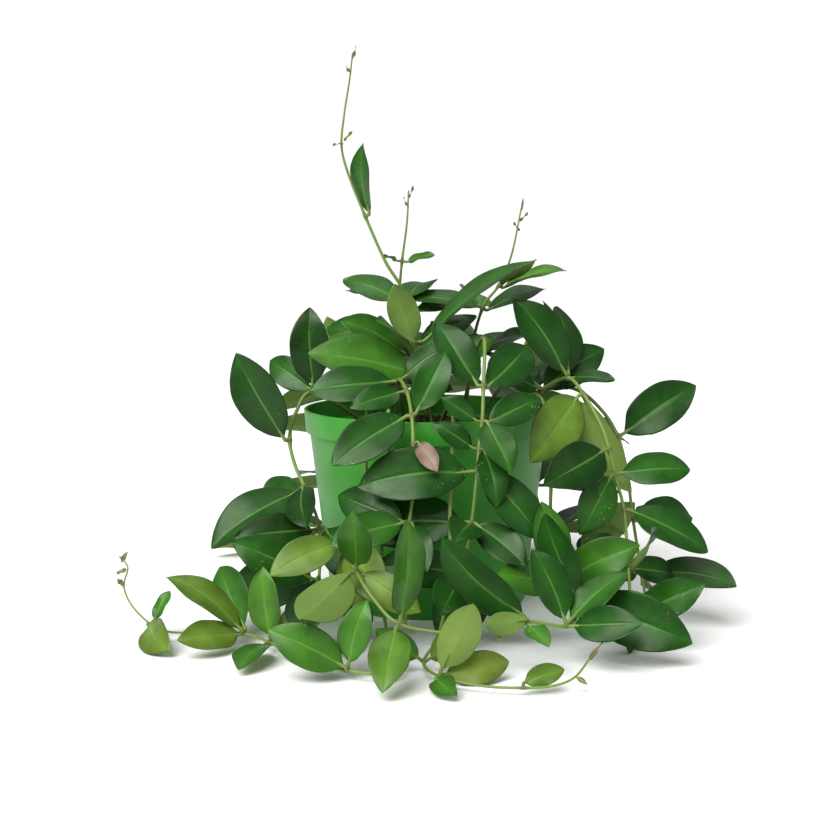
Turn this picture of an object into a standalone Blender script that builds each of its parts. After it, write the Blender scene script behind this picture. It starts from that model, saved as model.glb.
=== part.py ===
"""Potted hoya: thick leaves in pairs on trailing stems, in a round nursery pot.

The origin is the middle of the pot's flat underside. +Z is up and -Y is the
front. The vines are listed in millimetres, everything else is in metres.
"""

import math
import random

import bmesh
import bpy
from mathutils import Quaternion, Vector
from mathutils.bvhtree import BVHTree

MM = 0.001
GAP = 0.35 * MM  # kept between neighbouring pieces

# The pot is turned about Z, with a stepped band for a rim and holes in its base.
POT_HEIGHT = 118 * MM
POT_FOOT_RADIUS = 60 * MM
POT_NECK_RADIUS = 72.5 * MM
POT_RIM_RADIUS = 76 * MM
POT_RIM_BAND = 14 * MM
POT_LIP = 1 * MM
POT_WALL = 1.8 * MM
POT_BASE = 2.4 * MM
POT_SIDES = 36
DRAIN_HOLES = 8
DRAIN_RADIUS = 4.5 * MM
DRAIN_CIRCLE = 44 * MM
DRAIN_SIDES = 8

# The potting mix fills the pot to a little under the rim.
MIX_LEVEL = 104 * MM
MIX_LUMP = 1.2 * MM
MIX_MARGIN = 0.6 * MM
MIX_RINGS = 5
MIX_SIDES = 20
ROOTED_DEPTH = 18 * MM
ROOTED_STRAIGHT = 6 * MM

# Stems
STEM_BASE_RADIUS = 1.5 * MM
STEM_END_RADIUS = 0.9 * MM
STEM_SIDES = 5
STEM_STEP = 9 * MM

# A leaf is a lens in section on a short stalk, about twice as long as wide.
LEAF_WIDTH = 0.52  # of its blade's length
LEAF_THICKNESS = 1.3 * MM
LEAF_CAMBER = 0.05  # rise of the midrib, of the blade's length
LEAF_FOLD = 0.16  # rise of the edges, of half the width
LEAF_ROWS = (0.2, 0.5, 0.8)  # where the blade's sections stand, of its length
STALK_RADIUS = 0.8 * MM
STALK_KNEE = 3.0 * MM  # where the stalk turns towards its leaf
STALK_SHARE = 0.05  # of the leaf's length

# Leaves less than this far behind the middle lean to the front, by this much.
BACK_FROM = 45 * MM
FRONT_LEAN = 0.9

# The swollen ring that the two stalks of a pair grow from
RING_WALL = 1.1 * MM
RING_HALF_HEIGHT = 1.3 * MM
RING_SIDES = 6

# How far a leaf may turn aside, in degrees, to stay clear of what is there.
SWINGS = (0, 8, -8, 16, -16, 24, -24, 34, -34)
SPINS = (0, 20, -20, 45, -45)
SHRINKS = (1.0, 0.85, 0.7)

# Each vine runs from the mix outwards. Each line is a point of its stem and the
# tips of the leaves that stand there; a fourth number rolls a leaf about its midrib.
HANGING_VINES = {
    "centre_front": [
        [(20, -20, 106)],
        [(27, -34, 150)],
        [(32, -54, 163)],
        [(31, -71, 138), (5, -50, 173), (58, -34, 159)],
        [(30, -81, 119), (7, -82, 133), (64, -66, 131), (54, -98, 92)],
        [(28, -89, 105), (3, -88, 119), (37, -108, 77)],
        [(27, -93, 93), (-38, -99, 86), (62, -106, 58)],
        [(24, -95, 65), (-42, -98, 68), (52, -122, 47), (14, -136, 64)],
        [(20, -101, 38), (-24, -121, 50), (6, -144, 27), (50, -112, 14), (-19, -112, 23),
         (7, -112, 4), (41, -104, 8)],
        [(19, -116, 10)],
    ],
    "left_front": [
        [(-14, -20, 106)],
        [(-17, -42, 138), (-67, -56, 128), (12, -38, 158)],
        [(-12, -62, 134), (-44, -74, 124), (14, -72, 136)],
        [(-9, -78, 122), (10, -68, 158), (-52, -102, 98)],
        [(-8, -88, 108), (5, -104, 95)],
        [(-7, -95, 90)],
        [(-10, -100, 66), (-50, -114, 48), (0, -126, 46), (-58, -98, 75)],
        [(-12, -106, 38)],
        [(-12, -116, 14)],
    ],
    "left_rim": [
        [(-42, -12, 106)],
        [(-68, -27, 130), (-70, -24, 180, 35), (-97, -4, 147)],
        [(-78, -36, 118)],
        [(-81, -41, 103), (-112, -42, 154)],
        [(-77, -47, 88)],
        [(-71, -54, 77), (-122, -80, 48), (-72, -92, 60), (-112, -28, 72)],
        [(-61, -75, 57), (-108, -86, 52), (-34, -112, 34), (-98, -48, 32)],
        [(-60, -97, 33), (-106, -104, 56), (-128, -94, 36), (-94, -132, 14), (-30, -104, 12)],
        [(-62, -118, 14)],
    ],
    "right_rim": [
        [(46, -8, 106)],
        [(68, -15, 130), (38, -37, 143), (108, 0, 154), (36, 20, 150)],
        [(83, -22, 138), (51, -17, 185, -20), (110, -32, 138), (74, 4, 182)],
        [(91, -37, 130), (58, -74, 96), (125, -66, 84, 180)],
        [(100, -50, 113)],
        [(104, -56, 100), (64, -92, 86)],
        [(107, -59, 86), (84, -90, 58), (152, -52, 88)],
        [(112, -64, 66), (159, -72, 44)],
        [(112, -84, 38), (86, -104, 58), (142, -62, 28), (120, -122, 62)],
        [(110, -110, 16), (147, -120, 37), (92, -128, 34), (113, -140, 9)],
    ],
    "right_side": [
        [(50, 16, 106)],
        [(74, 12, 128), (72, 6, 183), (96, 44, 146)],
        [(92, 8, 128)],
        [(107, 4, 116)],
        [(117, 0, 100), (166, 8, 131), (118, 50, 94)],
        [(122, -8, 78)],
        [(124, -22, 52), (166, 8, 48), (136, -52, 62)],
        [(126, -46, 24), (170, -84, 34), (134, -2, 8), (98, -62, 33)],
        [(126, -66, 10)],
    ],
    "left_middle": [
        [(-30, -28, 106)],
        [(-32, -60, 131)],
        [(-34, -73, 122)],
        [(-35, -73, 102)],
        [(-36, -70, 78)],
        [(-44, -106, 57), (-84, -122, 42), (-30, -148, 42), (-23, -118, 28)],
        [(-37, -134, 47), (-38, -152, 82), (-62, -180, 34, 180), (-7, -126, 23)],
        [(-27, -150, 36)],
        [(-14, -165, 28), (-10, -170, 82, 55), (-21, -203, 6)],
        [(12, -173, 25)],
    ],
    "left_floor": [
        [(-24, -12, 106)],
        [(-23, -52, 127)],
        [(-22, -78, 122)],
        [(-22, -78, 102)],
        [(-22, -73, 76)],
        [(-26, -80, 46)],
        [(-22, -126, 14)],
        [(-13, -152, 6)],
        [(-20, -172, 5)],
        [(-40, -168, 5), (-79, -168, 26), (-46, -176, 40)],
        [(-66, -148, 5)],
        [(-84, -124, 6), (-88, -120, 46), (-95, -164, 5), (-56, -106, 26)],
        [(-100, -111, 7), (-142, -106, 38, 60), (-132, -134, 16), (-118, -76, 36)],
        [(-122, -106, 6)],
        [(-142, -104, 6)],
        [(-153, -97, 8), (-136, -134, 5), (-144, -88, 25)],
        [(-165, -90, 17)],
        [(-170, -86, 27)],
        [(-168, -84, 37)],
        [(-173, -82, 43)],
    ],
    "right_front": [
        [(8, -30, 106)],
        [(13, -62, 128)],
        [(14, -79, 120)],
        [(13, -91, 98)],
        [(12, -98, 70)],
        [(12, -107, 38)],
        [(6, -128, 12)],
        [(-2, -154, 5), (-28, -160, 20), (26, -160, 24)],
        [(6, -177, 5), (23, -178, 44, 180), (13, -202, 4), (42, -170, 0)],
        [(26, -188, 4)],
        [(46, -191, 4), (67, -186, 12)],
        [(60, -191, 5)],
        [(71, -187, 8)],
        [(81, -170, 13)],
        [(91, -153, 18)],
    ],
    "right_low": [
        [(40, -18, 106)],
        [(61, -40, 130)],
        [(69, -50, 119)],
        [(71, -57, 95)],
        [(70, -64, 68)],
        [(69, -82, 44)],
        [(71, -105, 33), (62, -100, 78), (112, -118, 58), (36, -124, 44), (94, -96, 53)],
        [(80, -126, 28), (61, -120, 75, -60), (135, -150, 14)],
        [(72, -143, 21), (54, -133, 59), (110, -158, 25), (104, -128, 46)],
        [(50, -151, 25), (7, -140, 66, -55), (60, -174, 20), (27, -162, 25, 180)],
        [(34, -160, 18)],
    ],
}

# Young shoots and the vines of the back are whole pieces, leaves and all.
SHOOTS = {
    "tall_shoot": [
        [(-8, 8, 106)],
        [(-10, 6, 150), (-52, -10, 172), (30, 24, 174), (-34, -34, 168), (-80, 20, 138)],
        [(-13, 2, 184), (-53, 18, 196), (-22, 52, 196)],
        [(-26, 0, 207)],
        [(-38, 0, 234), (-39, -7, 277, -30)],
        [(-48, 0, 259)],
        [(-52, 0, 276)],
        [(-50, 0, 296)],
        [(-47, 0, 314)],
        [(-45, 0, 330)],
    ],
    "inner_shoot": [
        [(2, -12, 106)],
        [(-3, -20, 141), (-70, -36, 154), (42, -30, 152), (24, -48, 176)],
        [(-6, -20, 159), (-20, -28, 194, 180), (64, -12, 209, -55)],
    ],
    "left_shoot": [
        [(-20, 22, 106)],
        [(-20, 20, 150), (-64, 6, 180), (-10, 60, 168), (-62, 34, 146)],
        [(-18, 14, 185), (31, 4, 197), (-52, 30, 189)],
        [(-16, 10, 207), (-28, 6, 210), (4, 4, 211)],
        [(-13, 12, 230)],
        [(-12, 15, 250)],
    ],
    "right_shoot": [
        [(24, 15, 106)],
        [(27, 18, 150), (62, 46, 160), (2, 48, 168), (62, -8, 164), (46, 72, 148)],
        [(34, 18, 178), (-8, 8, 187), (74, 28, 190), (24, 66, 188)],
        [(44, 20, 192), (85, 12, 202), (74, 2, 189)],
        [(52, 22, 211)],
        [(58, 24, 240)],
    ],
}

# On the back vines the leaves follow a rule instead of a list.
BACK_VINES = {
    "back_left_vine": [
        (-32, 28, 106), (-43, 52, 129), (-50, 69, 120), (-54, 78, 92),
        (-58, 86, 56), (-72, 96, 22), (-94, 100, 6), (-116, 92, 6),
    ],
    "back_vine": [
        (-2, 38, 106), (-4, 62, 129), (-6, 82, 120), (-6, 92, 90),
        (-4, 98, 54), (4, 112, 20), (22, 132, 6), (46, 142, 6),
    ],
    "back_right_vine": [
        (36, 32, 106), (52, 50, 129), (63, 61, 119), (68, 68, 92),
        (72, 75, 56), (84, 84, 22), (104, 88, 6), (124, 74, 6),
    ],
}
BACK_LEAF_LENGTH = (46 * MM, 60 * MM)
BACK_LEAF_OPENING = (45, 75)  # degrees between a leaf and its stem
BACK_LEAF_SIDES = (-1, 1, 0)  # left and right of the stem, and outwards
BACK_BARE_POINTS = (0, 7)  # nothing grows at a back vine's first and last point


def principled(name, colour, roughness):
    """A plain material in linear RGB."""
    material = bpy.data.materials.new(name)
    material.use_nodes = True
    shader = material.node_tree.nodes["Principled BSDF"]
    shader.inputs["Base Color"].default_value = (*colour, 1)
    shader.inputs["Roughness"].default_value = roughness
    shader.inputs["Metallic"].default_value = 0
    return material


def add_object(name, mesh, material):
    """Put a mesh in the scene under its node's name."""
    mesh.name = name
    mesh.materials.clear()
    mesh.materials.append(material)
    piece = bpy.data.objects.new(name, mesh)
    bpy.context.collection.objects.link(piece)
    return piece


def mesh_of(corners, faces):
    """A closed mesh with its faces turned outwards."""
    shape = bmesh.new()
    points = [shape.verts.new(corner) for corner in corners]
    for face in faces:
        shape.faces.new([points[index] for index in face])
    bmesh.ops.recalc_face_normals(shape, faces=shape.faces)
    mesh = bpy.data.meshes.new("shape")
    shape.to_mesh(mesh)
    shape.free()
    return mesh


def band_faces(rings, sides, closed_round=False):
    """Four-sided faces between rings of corners that follow each other."""
    faces = []
    last = rings if closed_round else rings - 1
    for ring in range(last):
        above = (ring + 1) % rings * sides
        for side in range(sides):
            beside = (side + 1) % sides
            faces.append((ring * sides + side, ring * sides + beside, above + beside, above + side))
    return faces


def lathe(profile, sides, middle=(0, 0), lumps=None):
    """Stack a ring of corners for each (radius, height) and cap both ends.

    With lumps given, each corner is lifted by the next of its numbers.
    """
    corners = []
    for radius, height in profile:
        for side in range(sides):
            angle = 2 * math.pi * side / sides
            x = middle[0] + radius * math.cos(angle)
            y = middle[1] + radius * math.sin(angle)
            corners.append((x, y, height + (next(lumps) if lumps else 0)))
    faces = band_faces(len(profile), sides)
    faces.append(tuple(range(sides)))
    faces.append(tuple(range(len(corners) - sides, len(corners))))
    return mesh_of(corners, faces)


def combined(mesh, others, operation):
    """The mesh with a Boolean of each of the others applied in turn."""
    base = bpy.data.objects.new("base", mesh)
    bpy.context.collection.objects.link(base)
    helpers = []
    for other in others:
        helper = bpy.data.objects.new("helper", other)
        bpy.context.collection.objects.link(helper)
        helpers.append(helper)
        cut = base.modifiers.new("boolean", "BOOLEAN")
        cut.operation = operation
        cut.object = helper
    seen = base.evaluated_get(bpy.context.evaluated_depsgraph_get())
    result = bpy.data.meshes.new_from_object(seen)
    for piece in [base, *helpers]:
        bpy.data.objects.remove(piece)
    return result


def peg(middle, radius, low, high, sides):
    """An upright prism for cutting a hole."""
    return lathe([(radius, low), (radius, high)], sides, middle)


def inner_radius(height):
    """The pot's inner radius at a height under the rim band."""
    slope = (POT_NECK_RADIUS - POT_FOOT_RADIUS) / (POT_HEIGHT - POT_RIM_BAND)
    return POT_FOOT_RADIUS - POT_WALL + slope * height


def pot_mesh():
    """The nursery pot: straight tapered wall, stepped rim band, holed base."""
    band = POT_HEIGHT - POT_RIM_BAND
    profile = [
        (POT_FOOT_RADIUS, 0),
        (POT_NECK_RADIUS, band),
        (POT_RIM_RADIUS - POT_LIP, band),
        (POT_RIM_RADIUS, POT_HEIGHT - POT_LIP),
        (POT_RIM_RADIUS - POT_LIP, POT_HEIGHT),
        (POT_RIM_RADIUS - POT_WALL, POT_HEIGHT),
        (inner_radius(band), band),
        (inner_radius(POT_BASE), POT_BASE),
    ]
    pegs = []
    for hole in range(DRAIN_HOLES):
        angle = 2 * math.pi * (hole + 0.5) / DRAIN_HOLES
        middle = (DRAIN_CIRCLE * math.cos(angle), DRAIN_CIRCLE * math.sin(angle))
        pegs.append(peg(middle, DRAIN_RADIUS, -POT_BASE, 2 * POT_BASE, DRAIN_SIDES))
    return combined(lathe(profile, POT_SIDES), pegs, "DIFFERENCE")


def mix_mesh(stem_feet):
    """The potting mix: a plug with a lumpy top, and a socket for each stem."""
    floor = POT_BASE + GAP
    flats = math.cos(math.pi / POT_SIDES)  # the pot's flats stand in from its corners
    rim = (inner_radius(MIX_LEVEL) - MIX_MARGIN) * flats
    profile = [((inner_radius(floor) - MIX_MARGIN) * flats, floor)]
    for ring in range(MIX_RINGS, 0, -1):
        profile.append((rim * ring / MIX_RINGS, MIX_LEVEL))
    chance = random.Random(5)
    lumps = [0] * MIX_SIDES
    lumps += [chance.uniform(-MIX_LUMP, MIX_LUMP) for _ in range(MIX_SIDES * MIX_RINGS)]
    pegs = []
    for foot in stem_feet:
        radius = STEM_BASE_RADIUS + 2 * GAP
        pegs.append(peg(foot.xy, radius, foot.z - POT_BASE, POT_HEIGHT, RING_SIDES))
    plug = lathe(profile, MIX_SIDES, lumps=iter(lumps))
    return combined(plug, pegs, "DIFFERENCE")


def stem_points(listed):
    """A vine's points in metres, with its buried foot and its upright start."""
    points = [Vector(point) * MM for point in listed]
    root = points[0]
    foot = root - Vector((0, 0, ROOTED_DEPTH))
    rise = root + Vector((0, 0, ROOTED_STRAIGHT))
    return [foot, root, rise, *points[1:]]


def smooth_curve(points):
    """Samples of a Catmull-Rom curve, and the sample that each point falls on."""
    ends = [points[0] * 2 - points[1], *points, points[-1] * 2 - points[-2]]
    samples = []
    marks = []
    for a, b, c, d in zip(ends, ends[1:], ends[2:], ends[3:]):
        steps = max(1, round((c - b).length / STEM_STEP))
        marks.append(len(samples))
        for step in range(steps):
            t = step / steps
            samples.append(
                0.5 * (2 * b + (c - a) * t + (2 * a - 5 * b + 4 * c - d) * t ** 2
                       + (3 * b - 3 * c + d - a) * t ** 3)
            )
    marks.append(len(samples))
    samples.append(points[-1].copy())
    return samples, marks


def direction_at(samples, index):
    """The way a curve runs at one of its samples."""
    before = samples[max(index - 1, 0)]
    after = samples[min(index + 1, len(samples) - 1)]
    return (after - before).normalized()


def stem_radius(samples, index):
    """Stems thin evenly towards their growing end."""
    share = index / (len(samples) - 1)
    return STEM_BASE_RADIUS + (STEM_END_RADIUS - STEM_BASE_RADIUS) * share


def tube_mesh(samples):
    """A stem: a tapering tube along its samples, with flat ends."""
    corners = []
    side = Vector((1, 0, 0))
    for index, sample in enumerate(samples):
        along = direction_at(samples, index)
        side = (side - along * side.dot(along)).normalized()
        other = along.cross(side)
        radius = stem_radius(samples, index)
        for step in range(STEM_SIDES):
            angle = 2 * math.pi * step / STEM_SIDES
            corners.append(sample + (side * math.cos(angle) + other * math.sin(angle)) * radius)
    faces = band_faces(len(samples), STEM_SIDES)
    last = len(corners) - STEM_SIDES
    faces += [tuple(range(STEM_SIDES)), tuple(range(last, len(corners)))]
    return mesh_of(corners, faces)


class Node:
    """A point of a stem where leaves stand."""

    def __init__(self, name, samples, mark):
        self.name = name
        self.place = samples[mark]
        self.along = direction_at(samples, mark)
        self.radius = stem_radius(samples, mark)
        self.clear_start = self.radius + GAP + RING_WALL / 4  # inside the ring's wall


def ring_mesh(node):
    """The node's ring: a short sleeve round the stem, clear of it by the gap."""
    inner = (node.radius + GAP) / math.cos(math.pi / RING_SIDES)
    outer = inner + RING_WALL
    side = node.along.orthogonal().normalized()
    other = node.along.cross(side)
    profile = [
        (inner, -RING_HALF_HEIGHT),
        (outer, -RING_HALF_HEIGHT),
        (outer, RING_HALF_HEIGHT),
        (inner, RING_HALF_HEIGHT),
    ]
    corners = []
    for step in range(RING_SIDES):
        angle = 2 * math.pi * step / RING_SIDES
        spoke = side * math.cos(angle) + other * math.sin(angle)
        for radius, height in profile:
            corners.append(node.place + spoke * radius + node.along * height)
    return mesh_of(corners, band_faces(RING_SIDES, len(profile), closed_round=True))


def light_at(point):
    """Leaves turn their upper side up and outwards, and those before the back to the front."""
    flat = Vector((point.x, point.y, 0))
    before_back = min(max((BACK_FROM - point.y) / BACK_FROM, 0), 1)
    return Vector((0, -FRONT_LEAN * before_back, 1)) + flat / max(flat.length, POT_RIM_RADIUS)


def blade_outline(share):
    """Half the blade's width at a share of its length: widest near the middle, pointed."""
    return math.sin(math.pi * share ** 0.8) ** 0.8


def leaf_frame(knee, tip, roll):
    """A leaf's length, the way it points and the way its upper side faces."""
    along = tip - knee
    length = along.length
    along.normalize()
    light = light_at((knee + tip) / 2)
    facing = (light - along * light.dot(along)).normalized()
    facing.rotate(Quaternion(along, math.radians(roll)))
    return length, along, facing


def leaf_rows(node, tip, roll, start, swell=0.0):
    """Sections of a leaf from its stalk's foot to its last row, then its tip.

    A section is its left edge, upper side, right edge and underside.
    """
    reach = tip - node.place
    outward = (reach - node.along * reach.dot(node.along)).normalized()
    knee = node.place + outward * STALK_KNEE
    length, along, facing = leaf_frame(knee, tip, roll)
    side = along.cross(facing)
    stalk = length * STALK_SHARE
    blade = length - stalk
    rows = []
    for centre, heading in (
        (node.place + outward * start, outward),
        (knee, (outward + along).normalized()),
        (knee + along * stalk, along),
    ):
        across = (side - heading * side.dot(heading)).normalized()
        above = across.cross(heading)
        radius = STALK_RADIUS + swell
        rows.append((centre, across * radius, above * radius, Vector()))
    for share in LEAF_ROWS:
        half = LEAF_WIDTH / 2 * blade * blade_outline(share)
        bulge = facing * (LEAF_CAMBER * blade * 4 * share * (1 - share))
        centre = knee + along * (stalk + blade * share) + bulge
        rows.append((
            centre,
            side * (half + swell),
            facing * (LEAF_THICKNESS / 2 + swell),
            facing * (LEAF_FOLD * half),
        ))
    corners = []
    for centre, across, above, lift in rows:
        corners += [centre - across + lift, centre + above, centre + across + lift, centre - above]
    corners.append(tip + along * swell)
    return corners


def leaf_faces(corners):
    """The faces of the sections that leaf_rows gives."""
    rows = len(corners) // 4
    faces = band_faces(rows, 4)
    faces.append((0, 1, 2, 3))
    last = (rows - 1) * 4
    for side in range(4):
        faces.append((last + side, last + (side + 1) % 4, rows * 4))
    return faces


class Surroundings:
    """What a new leaf has to stay clear of."""

    def __init__(self):
        self.pieces = []

    def add(self, corners, faces, name=""):
        tree = BVHTree.FromPolygons(corners, faces)
        low = [min(corner[axis] for corner in corners) for axis in range(3)]
        high = [max(corner[axis] for corner in corners) for axis in range(3)]
        self.pieces.append((name, tree, low, high))

    def add_mesh(self, mesh, name=""):
        corners = [vertex.co.copy() for vertex in mesh.vertices]
        self.add(corners, [tuple(face.vertices) for face in mesh.polygons], name)

    def clear(self, corners, faces, own=""):
        """Whether a shape stands above the floor and cuts nothing but its own ring."""
        low = [min(corner[axis] for corner in corners) for axis in range(3)]
        high = [max(corner[axis] for corner in corners) for axis in range(3)]
        if low[2] < GAP:
            return False
        tree = None
        for name, other, other_low, other_high in self.pieces:
            if name and name == own:
                continue
            if any(low[k] > other_high[k] or high[k] < other_low[k] for k in range(3)):
                continue
            tree = tree or BVHTree.FromPolygons(corners, faces)
            if tree.overlap(other):
                return False
        return True


def leaf_moves():
    """Ways to move a leaf aside, the smallest first."""
    moves = []
    for shrink in SHRINKS:
        for swing in SWINGS:
            for nod in SWINGS:
                for spin in SPINS:
                    effort = abs(swing) + abs(nod) + abs(spin) / 2 + 200 * (1 - shrink)
                    moves.append((effort, shrink, swing, nod, spin))
    return sorted(moves)


def moved_tip(place, tip, shrink, swing, nod):
    """The tip after a swing in the leaf's own plane and a nod across it."""
    reach = tip - place
    light = light_at((place + tip) / 2)
    facing = (light - reach * light.dot(reach) / reach.length_squared).normalized()
    side = reach.cross(facing).normalized()
    turned_reach = reach * shrink
    turned_reach.rotate(Quaternion(facing, math.radians(swing)))
    turned_reach.rotate(Quaternion(side, math.radians(nod)))
    return place + turned_reach


def settled_leaf(node, leaf, start, surroundings, moves):
    """A leaf's corners at the first move that leaves it clear, or None if none does."""
    tip = Vector(leaf[:3]) * MM
    roll = leaf[3] if len(leaf) > 3 else 0
    for _, shrink, swing, nod, spin in moves:
        new_tip = moved_tip(node.place, tip, shrink, swing, nod)
        trial = leaf_rows(node, new_tip, roll + spin, node.clear_start, GAP)
        if surroundings.clear(trial, leaf_faces(trial), node.name):
            return leaf_rows(node, new_tip, roll + spin, start)
    return None


def grow_leaves(node, leaves, start, surroundings, moves):
    """The meshes of a node's leaves, each moved clear of what is there before it."""
    grown = []
    for leaf in leaves:
        corners = settled_leaf(node, leaf, start, surroundings, moves)
        if corners is None:
            print(f"no room for a leaf at {node.name}: {leaf}")
            continue
        faces = leaf_faces(corners)
        surroundings.add(corners, faces)
        grown.append(mesh_of(corners, faces))
    return grown


def back_vine_lines(points, seed):
    """Give each point of a back vine its leaves, opened and raised by chance."""
    chance = random.Random(seed)
    samples, marks = smooth_curve([Vector(point) * MM for point in points])
    lines = []
    for index, point in enumerate(points):
        line = [point]
        along = direction_at(samples, marks[index])
        place = Vector(point) * MM
        outward = Vector((place.x, place.y, 0)).normalized()
        side = along.cross(outward)
        side = side.normalized() if side.length > 0.2 else along.orthogonal().normalized()
        for sign in BACK_LEAF_SIDES:
            length = chance.uniform(*BACK_LEAF_LENGTH)
            opening = math.radians(chance.uniform(*BACK_LEAF_OPENING))
            rise = chance.uniform(0.1, 0.5)
            away = (side * sign + outward * rise + Vector((0, 0, rise))).normalized()
            heading = along * math.cos(opening) + away * math.sin(opening)
            tip = place + heading.normalized() * length
            tip.z = max(tip.z, 8 * MM)
            if index not in BACK_BARE_POINTS:
                line.append(tuple(tip / MM))
        lines.append(line)
    return lines


def whole_vines():
    """The vines that are one piece with their leaves, by name."""
    whole = dict(SHOOTS)
    for seed, (name, points) in enumerate(BACK_VINES.items()):
        whole[name] = back_vine_lines(points, seed)
    return whole


def nodes_of(name, lines, samples, marks):
    """A node for each line of a vine that has leaves, with its leaves."""
    nodes = []
    for index, line in enumerate(lines):
        if len(line) > 1:
            nodes.append((Node(f"{name}_{index}", samples, marks[index]), line[1:]))
    return nodes


def main():
    for old in list(bpy.data.objects):
        bpy.data.objects.remove(old)

    pot_green = principled("pot_green", (0.06, 0.30, 0.06), 0.4)
    mix_brown = principled("mix_brown", (0.03, 0.018, 0.01), 0.95)
    stem_green = principled("stem_green", (0.22, 0.28, 0.07), 0.55)
    leaf_green = principled("leaf_green", (0.05, 0.17, 0.04), 0.4)
    shoot_green = principled("shoot_green", (0.20, 0.32, 0.10), 0.45)

    surroundings = Surroundings()
    vines = {**HANGING_VINES, **whole_vines()}
    feet = []
    stems = {}
    nodes = {}
    for name, lines in vines.items():
        samples, marks = smooth_curve(stem_points([line[0] for line in lines]))
        listed_marks = [marks[1], *marks[3:]]  # without the buried foot and the rise
        feet.append(samples[0])
        stems[name] = tube_mesh(samples)
        nodes[name] = nodes_of(name, lines, samples, listed_marks)
        surroundings.add_mesh(stems[name])

    pot = pot_mesh()
    mix = mix_mesh(feet)
    surroundings.add_mesh(pot)
    surroundings.add_mesh(mix)
    add_object("pot", pot, pot_green)
    add_object("potting_mix", mix, mix_brown)

    rings = {}
    for name in HANGING_VINES:
        for node, _ in nodes[name]:
            rings[node.name] = ring_mesh(node)
            surroundings.add_mesh(rings[node.name], node.name)

    moves = leaf_moves()
    for name in HANGING_VINES:
        for pair, (node, leaves) in enumerate(nodes[name], 1):
            grown = grow_leaves(node, leaves, node.clear_start, surroundings, moves)
            mesh = combined(rings[node.name], grown, "UNION")
            add_object(f"{name}_leaves_{pair}", mesh, leaf_green)
        add_object(f"{name}_stem", stems[name], stem_green)
    for name in whole_vines():
        grown = []
        for node, leaves in nodes[name]:
            grown += grow_leaves(node, leaves, 0, surroundings, moves)
        add_object(name, combined(stems[name], grown, "UNION"), shoot_green)


main()
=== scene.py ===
import math
import random
import bmesh
import bpy
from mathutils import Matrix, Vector, noise


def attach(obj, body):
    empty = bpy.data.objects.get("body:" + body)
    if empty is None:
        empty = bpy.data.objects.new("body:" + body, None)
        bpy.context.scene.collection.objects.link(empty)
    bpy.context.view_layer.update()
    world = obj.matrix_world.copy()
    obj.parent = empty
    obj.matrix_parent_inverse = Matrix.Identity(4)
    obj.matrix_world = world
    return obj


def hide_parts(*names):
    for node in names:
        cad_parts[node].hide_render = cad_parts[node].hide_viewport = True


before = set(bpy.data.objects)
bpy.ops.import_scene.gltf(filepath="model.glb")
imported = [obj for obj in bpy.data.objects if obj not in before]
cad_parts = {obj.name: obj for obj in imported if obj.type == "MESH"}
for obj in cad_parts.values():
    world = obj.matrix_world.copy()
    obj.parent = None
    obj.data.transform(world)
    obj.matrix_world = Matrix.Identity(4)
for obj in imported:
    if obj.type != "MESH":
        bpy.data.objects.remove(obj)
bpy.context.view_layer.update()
scene = bpy.context.scene
mm = 0.001


def linearColour(hexText):
    # sRGB hex to the linear colour that a shader takes
    channels = [int(hexText[i:i + 2], 16) / 255 for i in (1, 3, 5)]
    return tuple(c / 12.92 if c <= 0.04045 else ((c + 0.055) / 1.055) ** 2.4 for c in channels) + (1,)


def addNode(tree, kind, settings=None, inputs=None):
    # one node with its settings; an input that is a socket is linked, any other is set
    node = tree.nodes.new(kind)
    for key, value in (settings or {}).items():
        setattr(node, key, value)
    for key, value in (inputs or {}).items():
        if isinstance(value, bpy.types.NodeSocket):
            tree.links.new(value, node.inputs[key])
        else:
            node.inputs[key].default_value = value
    return node


# settings that many nodes share
times = {"operation": "MULTIPLY"}
timesPlus = {"operation": "MULTIPLY_ADD"}
colours = {"data_type": "RGBA"}
softly = {"interpolation_type": "SMOOTHSTEP"}
perPoint = {"data_type": "FLOAT", "domain": "POINT"}


def newMaterial(name):
    material = bpy.data.materials.new(name)
    material.use_nodes = True
    material.node_tree.nodes.clear()
    return material, material.node_tree


def newGeometryTree(name, sockets):
    # a Geometry Nodes tree with its named inputs and one geometry output
    tree = bpy.data.node_groups.new(name, "GeometryNodeTree")
    tree.interface.new_socket("Geometry", in_out="INPUT", socket_type="NodeSocketGeometry")
    for label, kind, value in sockets:
        socket = tree.interface.new_socket(label, in_out="INPUT", socket_type=kind)
        if value is not None:
            socket.default_value = value
    tree.interface.new_socket("Geometry", in_out="OUTPUT", socket_type="NodeSocketGeometry")
    return tree


def runTree(tree, mesh, name, values):
    # puts the tree on a mesh, sets its inputs by identifier and returns the plain result
    carrier = bpy.data.objects.new(name + "_carrier", mesh)
    scene.collection.objects.link(carrier)
    modifier = carrier.modifiers.new(tree.name, "NODES")
    modifier.node_group = tree
    identifiers = {item.name: item.identifier for item in tree.interface.items_tree if item.in_out == "INPUT"}
    for label, value in values.items():
        modifier[identifiers[label]] = value
    evaluated = carrier.evaluated_get(bpy.context.evaluated_depsgraph_get())
    result = bpy.data.meshes.new_from_object(evaluated)
    result.name = name
    bpy.data.objects.remove(carrier)
    return result


def addPiece(name, mesh, replaced):
    piece = bpy.data.objects.new(name, mesh)
    scene.collection.objects.link(piece)
    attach(piece, "root")
    if replaced:
        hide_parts(*replaced)
    return piece


def joinMeshes(meshes):
    # one mesh from several, with their attributes and materials
    objects = []
    for mesh in meshes:
        objects.append(bpy.data.objects.new("part", mesh))
        scene.collection.objects.link(objects[-1])
    with bpy.context.temp_override(active_object=objects[0], selected_editable_objects=objects):
        bpy.ops.object.join()
    joined = objects[0].data
    bpy.data.objects.remove(objects[0])
    return joined


# Camera, light and floor

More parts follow.
